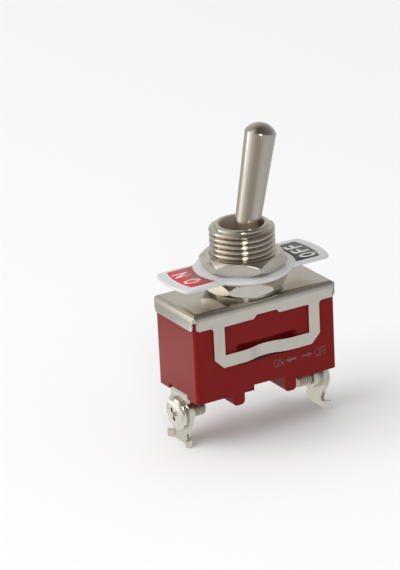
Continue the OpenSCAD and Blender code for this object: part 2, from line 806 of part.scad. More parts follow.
module fixed_terminal() {
  shelf_end = contact_x + contact_r;
  color([0.76, 0.74, 0.7])
    difference() {
      union() {
        terminal(riser_x);
        upright(strip_w) {
          translate([riser_x, cav_floor_z]) square([sheet_t, shelf_z + sheet_t - cav_floor_z]);
          translate([riser_x, shelf_z]) square([shelf_end - riser_x, sheet_t]);
        }
      }
      translate([contact_x, 0, shelf_z - eps]) cylinder(h = sheet_t + 2 * eps, r = contact_r / 2 + snug);
      translate([terminal_rivet_x, 0, cav_floor_z - eps])
        cylinder(h = sheet_t + 2 * eps, r = rivet_r + snug);
    }
}

module fixed_contact() {
  color([0.86, 0.86, 0.85])
    translate([contact_x, 0, shelf_z]) {
      cylinder(h = sheet_t + fixed_button_t, r = contact_r / 2);
      translate([0, 0, sheet_t]) cylinder(h = fixed_button_t, r = contact_r);
    }
}

// Rivet with a head at each end, between two levels
module rivet(x, from_z, to_z) {
  translate([x, 0, from_z]) {
    cylinder(h = to_z - from_z, r = rivet_r);
    translate([0, 0, -rivet_head_h]) cylinder(h = rivet_head_h, r = rivet_head_r);
    translate([0, 0, to_z - from_z]) cylinder(h = rivet_head_h, r = rivet_head_r);
  }
}

module cradle_rivet() {
  color([0.7, 0.55, 0.3]) rivet(relief_mid_x, case_bottom_z + relief_depth, base_top_z);
}

module terminal_rivet() {
  color([0.7, 0.55, 0.3]) rivet(terminal_rivet_x, case_bottom_z + rivet_head_h + stop_gap, strip_top_z);
}

// Pan head screw on the +X side, driven inwards through the plate
module terminal_screw() {
  edge = 0.35;
  recess_l = 0.62 * screw_head_d;
  recess_w = 0.75;
  recess_turn = 20;
  recess_depth = 0.6 * screw_head_h;
  translate([0, 0, screw_z])
    difference() {
      union() {
        along_x(plate_out - screw_l, screw_l + eps, screw_d / 2);
        along_x(plate_out, screw_head_h - edge, screw_head_d / 2);
        translate([plate_out + screw_head_h - edge, 0, 0])
          rotate([0, 90, 0]) cylinder(h = edge, d1 = screw_head_d, d2 = screw_head_d - 2 * edge);
      }
      for (turn = [recess_turn, recess_turn + 90])
        translate([plate_out + screw_head_h - recess_depth, 0, 0])
          rotate([turn, 0, 0])
            translate([0, -recess_l / 2, -recess_w / 2]) cube([screw_head_h, recess_l, recess_w]);
    }
}

module left_screw() {
  color([0.78, 0.76, 0.7]) mirror([1, 0, 0]) terminal_screw();
}

module right_screw() {
  color([0.78, 0.76, 0.7]) terminal_screw();
}

case();
cover();
bushing();
lower_nut();
lock_washer();
onoff_tag();
upper_nut();
lever();
pivot_pin();
plunger();
plunger_spring();
rocker();
moving_contact();
rocker_axle();
cradle();
common_terminal();
fixed_terminal();
fixed_contact();
cradle_rivet();
terminal_rivet();
left_screw();
right_screw();
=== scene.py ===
import json
import math

import bmesh
import bpy
from mathutils import Matrix, Quaternion, Vector


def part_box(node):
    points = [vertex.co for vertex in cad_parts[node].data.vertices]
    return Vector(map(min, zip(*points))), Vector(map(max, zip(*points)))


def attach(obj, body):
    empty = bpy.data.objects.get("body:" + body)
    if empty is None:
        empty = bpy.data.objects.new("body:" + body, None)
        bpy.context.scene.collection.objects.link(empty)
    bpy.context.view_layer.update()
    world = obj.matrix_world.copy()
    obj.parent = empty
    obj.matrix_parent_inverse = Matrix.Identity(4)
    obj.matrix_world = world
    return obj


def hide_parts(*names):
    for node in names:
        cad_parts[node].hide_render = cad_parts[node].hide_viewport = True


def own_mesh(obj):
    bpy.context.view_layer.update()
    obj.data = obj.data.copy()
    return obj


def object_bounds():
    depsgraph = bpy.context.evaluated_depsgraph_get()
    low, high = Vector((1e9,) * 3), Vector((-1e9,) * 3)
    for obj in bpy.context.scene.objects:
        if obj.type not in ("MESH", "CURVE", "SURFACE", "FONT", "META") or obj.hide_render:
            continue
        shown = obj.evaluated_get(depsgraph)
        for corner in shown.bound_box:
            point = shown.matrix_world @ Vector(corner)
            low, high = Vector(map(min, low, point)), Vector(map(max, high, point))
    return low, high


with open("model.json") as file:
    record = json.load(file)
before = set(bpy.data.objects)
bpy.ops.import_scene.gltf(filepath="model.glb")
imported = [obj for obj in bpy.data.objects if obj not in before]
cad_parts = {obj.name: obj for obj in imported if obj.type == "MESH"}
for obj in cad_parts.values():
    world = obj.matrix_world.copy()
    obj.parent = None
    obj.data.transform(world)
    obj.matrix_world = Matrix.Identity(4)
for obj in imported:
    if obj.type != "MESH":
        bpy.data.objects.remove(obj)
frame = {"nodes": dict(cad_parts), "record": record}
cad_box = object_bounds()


# Case: a thick-walled box moulded in red phenolic, open at the top, with two ribs across
# its underside. The mould leaves rounded corners, a glossy skin and raised ON and OFF marks
# with arrows under the strap of the front face.

MM = 0.001
weld_gap = 0.0005 * MM


class Shade:
    """One socket among a finish's nodes. Arithmetic on it adds Math nodes."""

    def __init__(self, tree, socket=None):
        self.tree = tree
        self.socket = socket

    def node(self, kind, settings=None, sockets=None, output=0):
        """Add a node of a kind, set it up, feed its sockets and return one of its outputs."""
        made = self.tree.nodes.new("ShaderNode" + kind)
        for name, value in (settings or {}).items():
            if name == "stops":
                ramp = made.color_ramp.elements
                while len(ramp) < len(value):
                    ramp.new(1.0)
                for element, (position, colour) in zip(ramp, value):
                    element.position = position
                    element.color = colour
            else:
                setattr(made, name, value)
        for key, value in (sockets or {}).items():
            if isinstance(value, Shade):
                self.tree.links.new(value.socket, made.inputs[key])
            else:
                made.inputs[key].default_value = value
        return Shade(self.tree, made.outputs[output] if made.outputs else None)

    def maths(self, operation, *values):
        """Add a Math node for an operation on these values."""
        return self.node("Math", {"operation": operation}, dict(enumerate(values)))

    def __add__(self, other):
        return self.maths("ADD", self, other)

    __radd__ = __add__

    def __sub__(self, other):
        return self.maths("SUBTRACT", self, other)

    def __rsub__(self, other):
        return self.maths("SUBTRACT", other, self)

    def __mul__(self, other):
        return self.maths("MULTIPLY", self, other)

    __rmul__ = __mul__

    def __truediv__(self, other):
        return self.maths("DIVIDE", self, other)

    def __rtruediv__(self, other):
        return self.maths("DIVIDE", other, self)

    def __pow__(self, other):
        return self.maths("POWER", self, other)

    def __rpow__(self, other):
        return self.maths("POWER", other, self)

    def between(self, first, second):
        """Mix two colours, with this value as the share of the second one."""
        return self.node("Mix", {"data_type": "RGBA"}, {0: self, 6: first, 7: second}, output=2)

    def grain(self, size, stretch=(1, 1, 1), detail=2.0):
        """Noise between 0 and 1 at these coordinates, with grains about this many metres wide."""
        spread = self.node("Mapping", None, {"Vector": self, "Scale": stretch})
        return self.node("TexNoise", None, {"Vector": spread, "Scale": 1 / size, "Detail": detail})

    def bump(self, depth):
        """A normal for a surface with this value as its relief, at most this many metres deep."""
        return self.node("Bump", None, {"Strength": 1.0, "Distance": depth, "Height": self})

    def feed(self, shader, socket):
        """Link this value to a socket of a shader."""
        self.tree.links.new(self.socket, shader.inputs[socket])


def new_finish(name, steady):
    """Make a material with the shader's steady values, and return both with object coordinates."""
    material = bpy.data.materials.new(name)
    material.use_nodes = True
    tree = material.node_tree
    shader = tree.nodes["Principled BSDF"]
    for socket, value in steady.items():
        shader.inputs[socket].default_value = value
    place = Shade(tree).node("TexCoord", output="Object")
    return material, shader, place


def phenolic_finish(name, deep_red, bright_red):
    """Red moulded phenolic: a faintly mottled colour under a glossy, slightly wavy skin."""
    steady = {"Specular IOR Level": 0.10, "Sheen Weight": 0.28, "Sheen Roughness": 0.4}
    material, shader, place = new_finish(name, steady)
    mottle = place.grain(1.6 * MM, detail=4.0)
    specks = place.grain(0.12 * MM)
    waves = place.grain(2.5 * MM)
    skin_relief = 0.002 * MM
    (0.75 * mottle + 0.25 * specks).between(deep_red, bright_red).feed(shader, "Base Color")
    (0.28 + 0.14 * mottle).feed(shader, "Roughness")
    (specks + 3 * waves).bump(skin_relief).feed(shader, "Normal")
    return material


def merged_copy(node, flat_angle):
    """A CAD node's mesh with its triangles joined up and its flat faces made whole."""
    shape = bmesh.new()
    shape.from_mesh(frame["nodes"][node].data)
    bmesh.ops.remove_doubles(shape, verts=shape.verts, dist=weld_gap)
    bmesh.ops.dissolve_limit(
        shape, angle_limit=math.radians(flat_angle), verts=shape.verts, edges=shape.edges
    )
    return shape


def add_object(shape, name, material):
    """Turn a bmesh into an object of the scene with one finish."""
    mesh = bpy.data.meshes.new(name)
    shape.to_mesh(mesh)
    shape.free()
    mesh.materials.append(material)
    made = bpy.data.objects.new(name, mesh)
    bpy.context.scene.collection.objects.link(made)
    return made


def add_piece(shape, name, node, material):
    """Turn a bmesh into a smooth-shaded piece on the same body as a CAD node."""
    piece = add_object(shape, name, material)
    piece.data.shade_smooth()
    bodies = frame["record"]["behaviour"]["bodies"]
    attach(piece, next(body for body, nodes in bodies.items() if node in nodes))
    return piece


def soften_edges(piece, width, segments=2, angle=30, limited=True):
    """Round edges sharper than an angle, and keep flat faces flat in the light.

    Where it is limited, the width stops at what the shortest edge of the piece leaves room for.
    """
    edge = piece.modifiers.new("edge", "BEVEL")
    edge.width = width
    edge.segments = segments
    edge.limit_method = "ANGLE"
    edge.angle_limit = math.radians(angle)
    edge.use_clamp_overlap = limited
    level = piece.modifiers.new("level", "WEIGHTED_NORMAL")
    level.mode = "FACE_AREA"
    level.keep_sharp = True


def thicken(shape, lift):
    """Make a closed solid of flat faces by extruding them along a vector."""
    grown = bmesh.ops.extrude_face_region(shape, geom=shape.faces[:])["geom"]
    raised = [item for item in grown if isinstance(item, bmesh.types.BMVert)]
    bmesh.ops.translate(shape, verts=raised, vec=lift)
    bmesh.ops.recalc_face_normals(shape, faces=shape.faces)


def word_shape(word, width, height, thickness, weight=0.0):
    """A word as a flat solid of this width, height and thickness, centred on the origin."""
    seam = 1e-5
    curve = bpy.data.curves.new(word, "FONT")
    curve.body = word
    curve.offset = weight
    curve.extrude = 1.0
    holder = bpy.data.objects.new(word, curve)
    bpy.context.scene.collection.objects.link(holder)
    graph = bpy.context.evaluated_depsgraph_get()
    mesh = bpy.data.meshes.new_from_object(holder.evaluated_get(graph))
    bpy.data.objects.remove(holder)
    shape = bmesh.new()
    shape.from_mesh(mesh)
    bmesh.ops.remove_doubles(shape, verts=shape.verts, dist=seam)
    low, high = (
        Vector(end(vert.co[axis] for vert in shape.verts) for axis in range(3))
        for end in (min, max)
    )
    middle = (low + high) / 2
    span = high - low
    bmesh.ops.translate(shape, verts=shape.verts, vec=-middle)
    fit = (width / span.x, height / span.y, thickness / span.z)
    bmesh.ops.scale(shape, verts=shape.verts, vec=fit)
    return shape


case_edge = 0.16 * MM
case_red = phenolic_finish("red_phenolic", (0.168, 0.003, 0.0025, 1), (0.210, 0.005, 0.004, 1))
case = add_piece(merged_copy("case", flat_angle=0.5), "moulded_case", "case", case_red)
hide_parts("case")
soften_edges(case, case_edge, segments=3)

mark_height = 1.75 * MM
mark_relief = 0.16 * MM
mark_level = -20.1 * MM
case_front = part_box("case")[0].y
mark_red = phenolic_finish("mark_phenolic", (0.16, 0.055, 0.053, 1), (0.19, 0.068, 0.065, 1))
upright = Matrix.Rotation(math.radians(90), 4, "X")
words = [("ON", 2.43 * MM, 2.1 * MM), ("OFF", 11.4 * MM, 2.4 * MM)]
for word, across, width in words:
    shape = word_shape(word, width, mark_height, mark_relief)
    bmesh.ops.transform(shape, matrix=upright, verts=shape.verts)
    bmesh.ops.translate(shape, verts=shape.verts, vec=(across, case_front, mark_level))
    add_piece(shape, "case_mark_" + word.lower(), "case", mark_red)

arrow_length = 2.35 * MM
arrow_head = 1.1 * MM
arrow_shaft = 0.45 * MM
arrows = [("on", 3.78 * MM, 1), ("off", 9.69 * MM, -1)]
for name, tip, away in arrows:
    neck = tip + away * arrow_head
    tail = tip + away * arrow_length
    outline = [
        (tip, 0), (neck, arrow_head / 2), (neck, arrow_shaft / 2), (tail, arrow_shaft / 2),
        (tail, -arrow_shaft / 2), (neck, -arrow_shaft / 2), (neck, -arrow_head / 2),
    ]
    back = case_front + mark_relief / 2
    shape = bmesh.new()
    shape.faces.new([shape.verts.new((x, back, mark_level + z)) for x, z in outline])
    thicken(shape, (0, -mark_relief, 0))
    add_piece(shape, "case_arrow_" + name, "case", mark_red)


# Contact parts inside the case: a rocker of pressed brass on a steel axle, carried by a
# brass cradle, with silver contact buttons. Turned brass rivets hold the cradle and the
# terminals to the case floor.

def metal_finish(name, colour, worn_colour, roughness, streak, waviness=0.004 * MM):
    """Bare or plated metal: fine marks along one direction, faint stains and a wavy surface."""
    material, shader, place = new_finish(name, {"Metallic": 1.0})
    stains = place.grain(2.2 * MM, detail=3.0)
    marks = place.grain(0.25 * MM, stretch=streak, detail=4.0)
    waves = place.grain(1.8 * MM)
    (stains ** 2).between(colour, worn_colour).feed(shader, "Base Color")
    (roughness * (0.6 + 0.5 * marks + 0.3 * stains)).feed(shader, "Roughness")
    (marks + 4 * waves).bump(waviness).feed(shader, "Normal")
    return material


def paint_node(node, material):
    """Give its finish to a CAD node that is shown as it is."""
    surface = frame["nodes"][node]
    surface.data.materials.clear()
    surface.data.materials.append(material)


along_x = (0.08, 1, 1)
along_y = (1, 0.08, 1)
along_z = (1, 1, 0.08)
all_ways = (1, 1, 1)
contact_brass = metal_finish(
    "contact_brass", (0.78, 0.57, 0.28, 1), (0.62, 0.42, 0.18, 1),
    roughness=0.30, streak=along_x
)
rivet_brass = metal_finish(
    "rivet_brass", (0.72, 0.55, 0.30, 1), (0.58, 0.42, 0.20, 1),
    roughness=0.32, streak=all_ways
)
ground_steel = metal_finish(
    "pin_steel", (0.60, 0.60, 0.60, 1), (0.48, 0.48, 0.49, 1),
    roughness=0.25, streak=along_y
)
contact_silver = metal_finish(
    "silver", (0.86, 0.85, 0.82, 1), (0.70, 0.67, 0.60, 1),
    roughness=0.22, streak=all_ways
)
paint_node("rocker", contact_brass)
paint_node("cradle", contact_brass)
paint_node("rocker_axle", ground_steel)
for node in ("cradle_rivet", "terminal_rivet"):
    paint_node(node, rivet_brass)
for node in ("moving_contact", "fixed_contact"):
    paint_node(node, contact_silver)


# Terminals: two strips of nickel-plated brass sheet that lie on the case's floor and leave
# it under the end walls. Each is bent down into a screw plate with a foot, whose two lugs
# are bent outwards.

terminal_edge = 0.09 * MM
terminal_nickel = metal_finish(
    "terminal_sheet", (0.62, 0.595, 0.55, 1), (0.53, 0.50, 0.44, 1),
    roughness=0.28, streak=along_z, waviness=0.0012 * MM
)
for node in ("common_terminal", "fixed_terminal"):
    shape = merged_copy(node, flat_angle=0.5)
    terminal = add_piece(shape, node + "_strip", node, terminal_nickel)
    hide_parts(node)
    soften_edges(terminal, terminal_edge)


# Terminal screws: M3 pan heads with a slot, a cross recess and a rolled thread, in
# nickel-plated steel. Each goes through the plate from outside and stands out behind it.

def spun(profile, steps, fine_from=None, cuts=0):
    """Turn a half section of (radius, height) points about Z.

    The edge that starts at the point fine_from gets extra cuts, for a thread.
    """
    shape = bmesh.new()
    points = [shape.verts.new((radius, 0, height)) for radius, height in profile]
    edges = [shape.edges.new(pair) for pair in zip(points, points[1:])]
    if cuts:
        bmesh.ops.subdivide_edges(shape, edges=[edges[profile.index(fine_from)]], cuts=cuts)
    bmesh.ops.spin(
        shape, geom=shape.verts[:] + shape.edges[:], cent=(0, 0, 0), axis=(0, 0, 1),
        angle=math.tau, steps=steps, use_merge=True
    )
    bmesh.ops.remove_doubles(shape, verts=shape.verts, dist=weld_gap)
    bmesh.ops.recalc_face_normals(shape, faces=shape.faces)
    return shape


def round_ring(shape, radius, height, width, segments):
    """Round off the circular edge of this radius at this height."""
    near = 0.002 * MM

    def on_ring(vert):
        off_radius = abs(math.hypot(vert.co.x, vert.co.y) - radius)
        return off_radius < near and abs(vert.co.z - height) < near

    ring = [edge for edge in shape.edges if all(on_ring(vert) for vert in edge.verts)]
    bmesh.ops.bevel(
        shape, geom=ring, offset=width, offset_type="OFFSET", segments=segments, profile=0.5,
        affect="EDGES", material=-1, clamp_overlap=True
    )


def cut_thread(shape, radius, pitch, depth, low, high):
    """Sink a right-hand thread into what is turned to this radius between two heights."""
    for vert in shape.verts:
        around = math.hypot(vert.co.x, vert.co.y)
        if around < radius - depth or not low < vert.co.z < high:
            continue
        turn = math.atan2(vert.co.y, vert.co.x) / math.tau
        groove = 1 - abs(math.cos(math.pi * (vert.co.z / pitch - turn)))
        shrink = min(1.0, (radius - depth * groove) / around)
        vert.co.x *= shrink
        vert.co.y *= shrink


def carve(shape, cutter):
    """Cut one closed shape out of another."""
    solids = []
    for part in (shape, cutter):
        mesh = bpy.data.meshes.new("carving")
        part.to_mesh(mesh)
        part.free()
        solids.append(bpy.data.objects.new("carving", mesh))
        bpy.context.scene.collection.objects.link(solids[-1])
    cut = solids[0].modifiers.new("cut", "BOOLEAN")
    cut.object = solids[1]
    cut.solver = "EXACT"
    graph = bpy.context.evaluated_depsgraph_get()
    result = bmesh.new()
    result.from_mesh(solids[0].evaluated_get(graph).to_mesh())
    for solid in solids:
        bpy.data.objects.remove(solid)
    return result


def smooth_below(piece, angle):
    """Shade a piece smooth, apart from edges sharper than this angle."""
    piece.data.set_sharp_from_angle(angle=math.radians(angle))


def step_up(value, low, high):
    """A smooth step from 0 to 1 between two values."""
    limits = {"Value": value, "From Min": low, "From Max": high}
    return value.node("MapRange", {"interpolation_type": "SMOOTHSTEP"}, limits)


def parts_of(place):
    """The three values of a vector."""
    split = place.node("SeparateXYZ", None, {"Vector": place}).socket.node.outputs
    return [Shade(place.tree, split[axis]) for axis in "XYZ"]


screw_radius = 1.5 * MM
screw_length = 5.0 * MM
screw_point = 0.4 * MM
screw_pitch = 0.5 * MM
screw_thread_depth = 0.3 * MM
screw_thread_top = -0.15 * MM
thread_cuts = 110
head_radius = 3.15 * MM
head_height = 1.4 * MM
head_crown = 0.3 * MM
crown_break = 0.55 * head_radius
crown_dip = 0.3 * head_crown
head_rounding = 0.75 * MM
seat_rounding = 0.12 * MM

# Half length, width and depth of a recess, and the share of its length left at its floor
cross_arm = (1.9 * MM, 0.8 * MM, 1.0 * MM, 0.4)
driver_slot = (4.0 * MM, 0.9 * MM, 0.5 * MM, 1.0)
recess_turn = -65.5
recesses = [(recess_turn, cross_arm), (recess_turn + 90, cross_arm), (recess_turn, driver_slot)]
width_at_floor = 0.85

plate_face = abs(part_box("left_screw")[0].x) - head_height
shank_metal = (0.46, 0.41, 0.345, 1)
head_metal = (0.74, 0.72, 0.675, 1)
worn_head = (0.66, 0.625, 0.56, 1)
screw_nickel, shader, place = new_finish("plated_screw", {"Metallic": 1.0})
across = parts_of(place)[0]
head = step_up(across.maths("ABSOLUTE", across), plate_face - 0.3 * MM, plate_face)
stains = place.grain(2.2 * MM, detail=3.0)
polished = (stains ** 2).between(head_metal, worn_head)
head.between(shank_metal, polished).feed(shader, "Base Color")
(0.30 - 0.14 * head + 0.06 * stains).feed(shader, "Roughness")
place.grain(1.2 * MM).bump(0.012 * MM).feed(shader, "Normal")

for node, outward in (("left_screw", -1), ("right_screw", 1)):
    profile = [
        (0, head_height), (crown_break, head_height - crown_dip),
        (head_radius, head_height - head_crown), (head_radius, 0), (screw_radius, 0),
        (screw_radius, screw_point - screw_length),
        (screw_radius - screw_point, -screw_length), (0, -screw_length),
    ]
    screw = spun(profile, steps=72, fine_from=(screw_radius, 0), cuts=thread_cuts)
    round_ring(screw, head_radius, head_height - head_crown, head_rounding, segments=6)
    round_ring(screw, head_radius, 0, seat_rounding, segments=2)
    cut_thread(
        screw, screw_radius, screw_pitch, screw_thread_depth, -screw_length, screw_thread_top
    )
    for turn, (reach, width, depth, length_at_floor) in recesses:
        bar = bmesh.new()
        bmesh.ops.create_cube(bar, size=1.0)
        bmesh.ops.scale(bar, verts=bar.verts, vec=(2 * reach, width, 2 * depth))
        low_ends = [vert for vert in bar.verts if vert.co.z < 0]
        bmesh.ops.scale(bar, verts=low_ends, vec=(length_at_floor, width_at_floor, 1))
        turned = Matrix.Rotation(math.radians(turn), 4, "Z")
        bmesh.ops.transform(bar, matrix=turned, verts=bar.verts)
        bmesh.ops.translate(bar, verts=bar.verts, vec=(0, 0, head_height))
        screw = carve(screw, bar)
    lay_down = Matrix.Rotation(math.radians(90 * outward), 4, "Y")
    bmesh.ops.transform(screw, matrix=lay_down, verts=screw.verts)
    low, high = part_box(node)
    seat = (high.x - head_height) if outward > 0 else (low.x + head_height)
    level = (low.z + high.z) / 2
    bmesh.ops.translate(screw, verts=screw.verts, vec=(seat, 0, level))
    piece = add_piece(screw, node + "_turned", node, screw_nickel)
    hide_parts(node)
    smooth_below(piece, angle=35)


# Lever: a bat turned in brass and nickel plated, with a ball that swings on a steel cross
# pin. Its bored tail holds a moulded nylon plunger and a spring of drawn wire.

lever_nickel = metal_finish(
    "plated_lever", (0.61, 0.585, 0.54, 1), (0.56, 0.53, 0.48, 1),
    roughness=0.17, streak=(1, 1, 0.12), waviness=0.005 * MM
)
shape = merged_copy("lever", flat_angle=0.05)
lever = add_piece(shape, "bat_lever_turned", "lever", lever_nickel)
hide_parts("lever")
smooth_below(lever, angle=25)
paint_node("pivot_pin", ground_steel)

spring_wire = metal_finish(
    "spring_steel", (0.55, 0.55, 0.56, 1), (0.42, 0.42, 0.43, 1),
    roughness=0.30, streak=all_ways
)
shape = merged_copy("plunger_spring", flat_angle=0.05)
spring = add_piece(shape, "wound_spring", "plunger_spring", spring_wire)
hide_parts("plunger_spring")
smooth_below(spring, angle=40)
slide = next(
    joint for joint in frame["record"]["behaviour"]["joints"] if joint["name"] == "plunger_slide"
)
slide_axis = Vector(slide["axis"])
reach = [slide_axis.dot(vert.co) for vert in spring.data.vertices]
spring_length = max(reach) - min(reach)
1 - slide["range_m"][1] / spring_length
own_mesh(spring)

nylon, shader, place = new_finish("nylon", {"Subsurface Weight": 0.1, "IOR": 1.53})
cloud = place.grain(1.2 * MM, detail=3.0)
cloud.between((0.85, 0.83, 0.76, 1), (0.78, 0.75, 0.66, 1)).feed(shader, "Base Color")
(0.38 + 0.12 * cloud).feed(shader, "Roughness")
place.grain(0.15 * MM).bump(0.004 * MM).feed(shader, "Normal")
paint_node("plunger", nylon)


# Cover: nickel-plated steel sheet pressed into a lid with flanges. Two straps reach down
# the long sides, and the crossbar of each is bowed into the case to hold it.

cover_edge = 0.07 * MM
cover_nickel = metal_finish(
    "cover_sheet", (0.61, 0.585, 0.54, 1), (0.55, 0.52, 0.47, 1),
    roughness=0.20, streak=along_x, waviness=0.002 * MM
)
cover = add_piece(merged_copy("cover", flat_angle=0.5), "pressed_cover", "cover", cover_nickel)
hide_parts("cover")
soften_edges(cover, cover_edge, limited=False)


# Bushing: turned brass with a rolled M12 x 1 thread, nickel plated and staked into the
# cover. A round lip edges the flared mouth, a keyway runs down the OFF side, and the plating
# is thin and dull in the mouth. The roots between the crests of the thread are painted a
# darker brown, as painted shade.

thread_radius = 6.0 * MM
thread_pitch = 1.0 * MM
thread_depth = 0.46 * MM
thread_low = -0.3 * MM
thread_margin = 0.01 * MM
stem_radius = 5.7 * MM
collar_radius = 6.2 * MM
collar_height = 0.5 * MM
cover_sheet_t = 0.35 * MM
spigot_radius = 5.0 * MM
staked_radius = 5.6 * MM
bore_radius = 3.6 * MM
throat_radius = 3.2 * MM
throat_low = 1.08 * MM
throat_high = 1.68 * MM
mouth_radius = 4.1 * MM
mouth_rounding = 0.3 * MM
lip_height = 0.5 * MM
keyway_width = 1.8 * MM
keyway_depth = 0.9 * MM
foot, rim = (corner.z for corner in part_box("bushing"))
thread_high = rim - 0.45 * MM
collar_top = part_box("lower_nut")[0].z
collar_low = collar_top - collar_height
cover_under = collar_low - cover_sheet_t

# Bead of the lip and the shoulder below it: radius, and height above the solid's rim
lip_bead = [
    (4.6 * MM, 0.5 * MM), (4.85 * MM, 0.45 * MM), (5.05 * MM, 0.32 * MM), (5.15 * MM, 0.14 * MM),
    (5.17 * MM, -0.06 * MM), (5.35 * MM, -0.12 * MM), (5.6 * MM, -0.08 * MM),
    (5.84 * MM, -0.2 * MM),
]
profile = [
    (bore_radius, foot), (bore_radius, throat_low), (throat_radius, throat_low),
    (throat_radius, throat_high), (mouth_radius, rim + lip_height),
    *[(radius, rim + rise) for radius, rise in lip_bead],
    (thread_radius, thread_high), (thread_radius, thread_low), (stem_radius, thread_low),
    (stem_radius, collar_top), (collar_radius, collar_top), (collar_radius, collar_low),
    (spigot_radius, collar_low), (spigot_radius, cover_under),
    (staked_radius, cover_under), (staked_radius, foot), (bore_radius, foot),
]
bushing = spun(profile, steps=160, fine_from=(thread_radius, thread_high), cuts=thread_cuts)
round_ring(bushing, mouth_radius, rim + lip_height, mouth_rounding, segments=6)
cut_thread(
    bushing, thread_radius, thread_pitch, thread_depth, thread_low, thread_high - thread_margin
)
keyway = bmesh.new()
bmesh.ops.create_cube(keyway, size=1.0)
keyway_height = 2 * (rim + lip_height - collar_top)
bmesh.ops.scale(keyway, verts=keyway.verts, vec=(2 * keyway_depth, keyway_width, keyway_height))
keyway_middle = (thread_radius, 0, collar_top + keyway_height / 2)
bmesh.ops.translate(keyway, verts=keyway.verts, vec=keyway_middle)
bushing = carve(bushing, keyway)


def off_axis(across, along):
    """The distance from the Z axis."""
    return (across * across + along * along) ** 0.5


bright_nickel = (0.63, 0.60, 0.545, 1)
worn_nickel = (0.54, 0.50, 0.43, 1)
# Painted shade: the thread's roots take this darker brown, while the crests and the lip keep the
# nickel
root_shade_paint = (0.33, 0.285, 0.225, 1)
mouth_metal = (0.42, 0.36, 0.28, 1)
bushing_nickel, shader, place = new_finish("plated_bushing", {})
across, along, height = parts_of(place)
around = off_axis(across, along)
crest = step_up(around, 5.55 * MM, 5.92 * MM)
outside = step_up(around, 4.0 * MM, 4.5 * MM)
lip = step_up(height, rim - 0.5 * MM, rim - 0.2 * MM)
stains = place.grain(2.2 * MM, detail=3.0)
nickel = (stains ** 2).between(bright_nickel, worn_nickel)
# The roots darken with painted shade, and the lip above keeps the plain nickel
threaded = crest.between(root_shade_paint, nickel)
outside.between(mouth_metal, lip.between(threaded, nickel)).feed(shader, "Base Color")
(0.45 + 0.55 * outside).feed(shader, "Metallic")
(0.40 - 0.27 * outside + 0.05 * stains).feed(shader, "Roughness")
place.grain(1.2 * MM).bump(0.006 * MM).feed(shader, "Normal")
piece = add_piece(bushing, "threaded_bushing", "bushing", bushing_nickel)
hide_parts("bushing")
smooth_below(piece, angle=40)


# Nuts: hexagon bar turned to length, chamfered on both faces and nickel plated. The lower
# nut seats on the bushing's collar and the upper one clamps the tag.

nut_edge = 0.10 * MM
nut_nickel = metal_finish(
    "plated_nut", (0.67, 0.645, 0.60, 1), (0.62, 0.59, 0.54, 1),
    roughness=0.20, streak=(1, 1, 0.3), waviness=0.0015 * MM
)
for node in ("lower_nut", "upper_nut"):
    nut = add_piece(merged_copy(node, flat_angle=0.3), node + "_plated", node, nut_nickel)
    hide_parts(node)
    soften_edges(nut, nut_edge, angle=25)


# Lock washer: a ring of nickel-plated spring steel with teeth twisted out of its plane,
# held between the lower nut and the tag.

washer_nickel = metal_finish(
    "washer_steel", (0.62, 0.60, 0.54, 1), (0.50, 0.47, 0.41, 1),
    roughness=0.30, streak=all_ways
)
paint_node("lock_washer", washer_nickel)


# Tag: aluminium sheet stamped into a disc with two wings and printed under clear lacquer,
# with a red panel for ON and a dark one for OFF. Borders and letters are printed in white.

tag_edge = 0.12 * MM
tag_metal, shader, place = new_finish(
    "tag_sheet", {"Metallic": 0.2, "Coat Roughness": 0.06, "Coat IOR": 1.5}
)
brush = place.grain(0.12 * MM, stretch=along_x, detail=4.0)
haze = place.grain(3.0 * MM, detail=3.0)
haze.between((0.67, 0.67, 0.68, 1), (0.61, 0.61, 0.62, 1)).feed(shader, "Base Color")
(0.30 + 0.15 * brush).feed(shader, "Roughness")
(0.3 + 0.2 * haze).feed(shader, "Coat Weight")
(brush + 4 * haze).bump(0.002 * MM).feed(shader, "Normal")
# The underside is bare metal, its unprinted back, coloured darker and browner than the top as
# painted shade under the tag.
underside_shade_metal = metal_finish(
    "tag_underside", (0.60, 0.54, 0.45, 1), (0.50, 0.44, 0.35, 1),
    roughness=0.30, streak=along_x
)
shape = merged_copy("onoff_tag", flat_angle=0.5)
facing_down = -0.5
for face in shape.faces:
    if face.normal.z < facing_down:
        face.material_index = 1
tag = add_piece(shape, "stamped_tag", "onoff_tag", tag_metal)
tag.data.materials.append(underside_shade_metal)
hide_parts("onoff_tag")
soften_edges(tag, tag_edge)


def ink_finish(name, thin, full):
    """Printed ink under lacquer: slightly uneven cover with a clear, smooth top."""
    ink, shader, place = new_finish(name, {"Coat Weight": 0.35, "Coat Roughness": 0.08})
    patches = place.grain(0.5 * MM, detail=4.0)
    patches.between(thin, full).feed(shader, "Base Color")
    (0.34 + 0.16 * place.grain(0.2 * MM)).feed(shader, "Roughness")
    return ink


def grey(level):
    """A neutral colour of this level."""
    return (level, level, level, 1)


tag_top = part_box("onoff_tag")[1].z
ink_t = 0.03 * MM
panel_sweep = math.radians(70)
border = 0.14 * MM
letter_height = 3.4 * MM
red_ink = ink_finish("red_ink", (0.50, 0.030, 0.036, 1), (0.45, 0.022, 0.028, 1))
dark_ink = ink_finish("dark_ink", (0.036, 0.038, 0.037, 1), (0.028, 0.030, 0.029, 1))
white_ink = ink_finish("white_ink", grey(0.74), grey(0.68))


